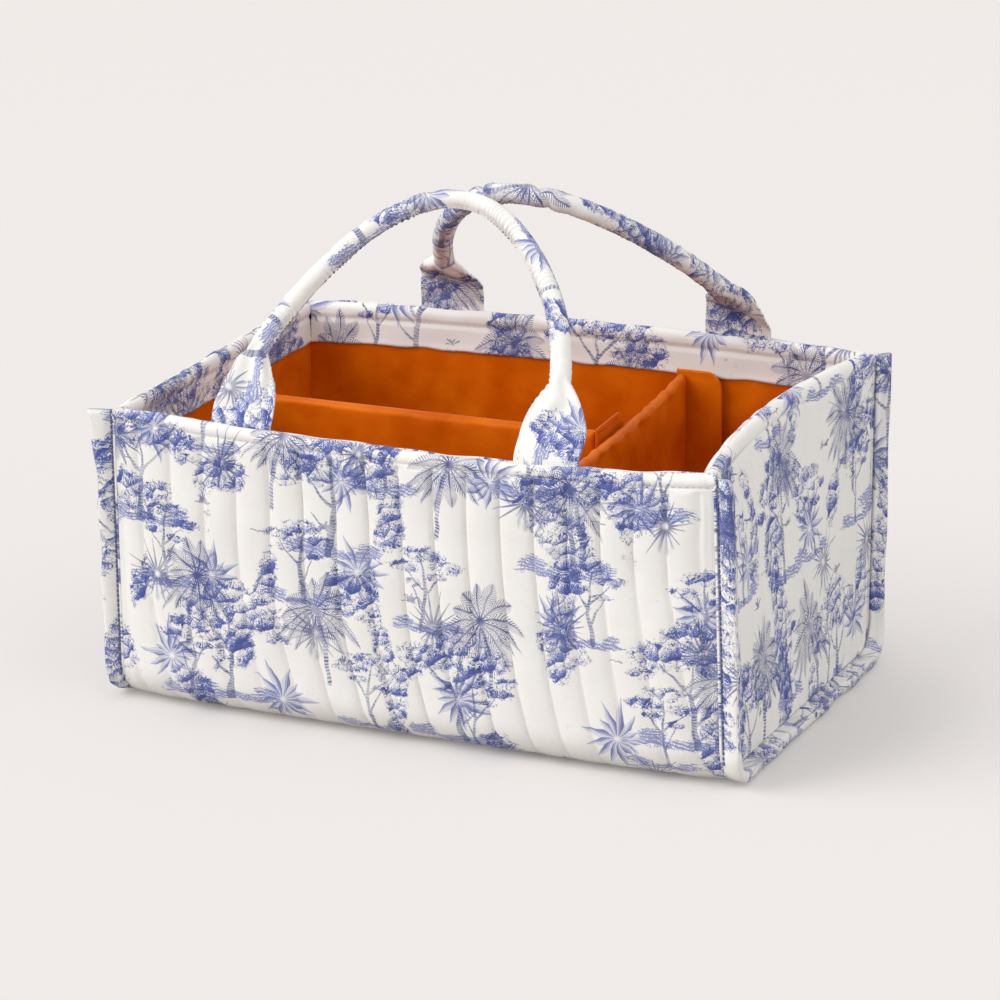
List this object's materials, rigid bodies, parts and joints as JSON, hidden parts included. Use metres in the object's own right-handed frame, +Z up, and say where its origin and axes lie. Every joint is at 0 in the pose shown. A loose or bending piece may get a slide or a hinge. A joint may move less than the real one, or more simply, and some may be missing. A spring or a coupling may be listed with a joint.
{
  "type": "fabric storage basket",
  "caption": "Soft rectangular storage basket of quilted printed cloth with a satin lining, two tube handles sewn to the rim and two padded dividers that lift out.",
  "frame": {"origin": "middle of the base, on the floor", "axes": "+X along the long side to the end of the single compartment, +Y towards the back, +Z up"},
  "size_m": [0.3863, 0.2554, 0.2943],
  "materials": {
    "printed_cloth": "cream cotton with a blue pastoral print, quilted",
    "satin_lining": "rust orange satin",
    "padding": "white wadding",
    "base_board": "plain grey-brown board",
    "fastener": "hook and loop tape"
  },
  "bodies": {
    "basket": {"outer_wrap": "printed_cloth", "outer_end_left": "printed_cloth", "outer_end_right": "printed_cloth", "corner_seam_left": "printed_cloth", "corner_seam_right": "printed_cloth", "facing_front": "printed_cloth", "facing_back": "printed_cloth", "facing_left": "printed_cloth", "facing_right": "printed_cloth", "handle_root_front_left": "printed_cloth", "handle_root_front_right": "printed_cloth", "handle_root_back_left": "printed_cloth", "handle_root_back_right": "printed_cloth", "lining_wrap": "satin_lining", "lining_end_left": "satin_lining", "lining_end_right": "satin_lining", "padding_wrap": "padding", "padding_end_left": "padding", "padding_end_right": "padding", "base_board": "base_board", "loop_strip_front": "fastener", "loop_strip_back": "fastener", "loop_strip_left": "fastener"},
    "front_handle": {"handle_front_cover": "printed_cloth", "handle_front_cord": "padding"},
    "back_handle": {"handle_back_cover": "printed_cloth", "handle_back_cord": "padding"},
    "cross_divider": {"cross_divider_cover": "satin_lining", "cross_divider_flap_front": "satin_lining", "cross_divider_flap_back": "satin_lining", "cross_divider_core": "padding", "cross_divider_hook_front": "fastener", "cross_divider_hook_back": "fastener", "cross_divider_loop": "fastener"},
    "long_divider": {"long_divider_cover": "satin_lining", "long_divider_flap_left": "satin_lining", "long_divider_flap_right": "satin_lining", "long_divider_core": "padding", "long_divider_hook_left": "fastener", "long_divider_hook_right": "fastener"}
  },
  "joints": [
    {"name": "front_handle_swing", "type": "hinge", "parent": "basket", "child": "front_handle", "pos_m": [-0.01044, -0.12002, 0.17331], "axis": [1, -0.0001, -0.0007], "range_deg": [-2, 140]},
    {"name": "back_handle_swing", "type": "hinge", "parent": "basket", "child": "back_handle", "pos_m": [0.00716, 0.12002, 0.20514], "axis": [-0.9999, 0.0001, -0.0119], "range_deg": [-1, 140]},
    {"name": "cross_divider_lift", "type": "slide", "parent": "basket", "child": "cross_divider", "axis": [0, 0, 1], "range_m": [0, 0.024]},
    {"name": "long_divider_lift", "type": "slide", "parent": "basket", "child": "long_divider", "axis": [-0.0098, 0, 1], "range_m": [0, 0.1]}
  ]
}
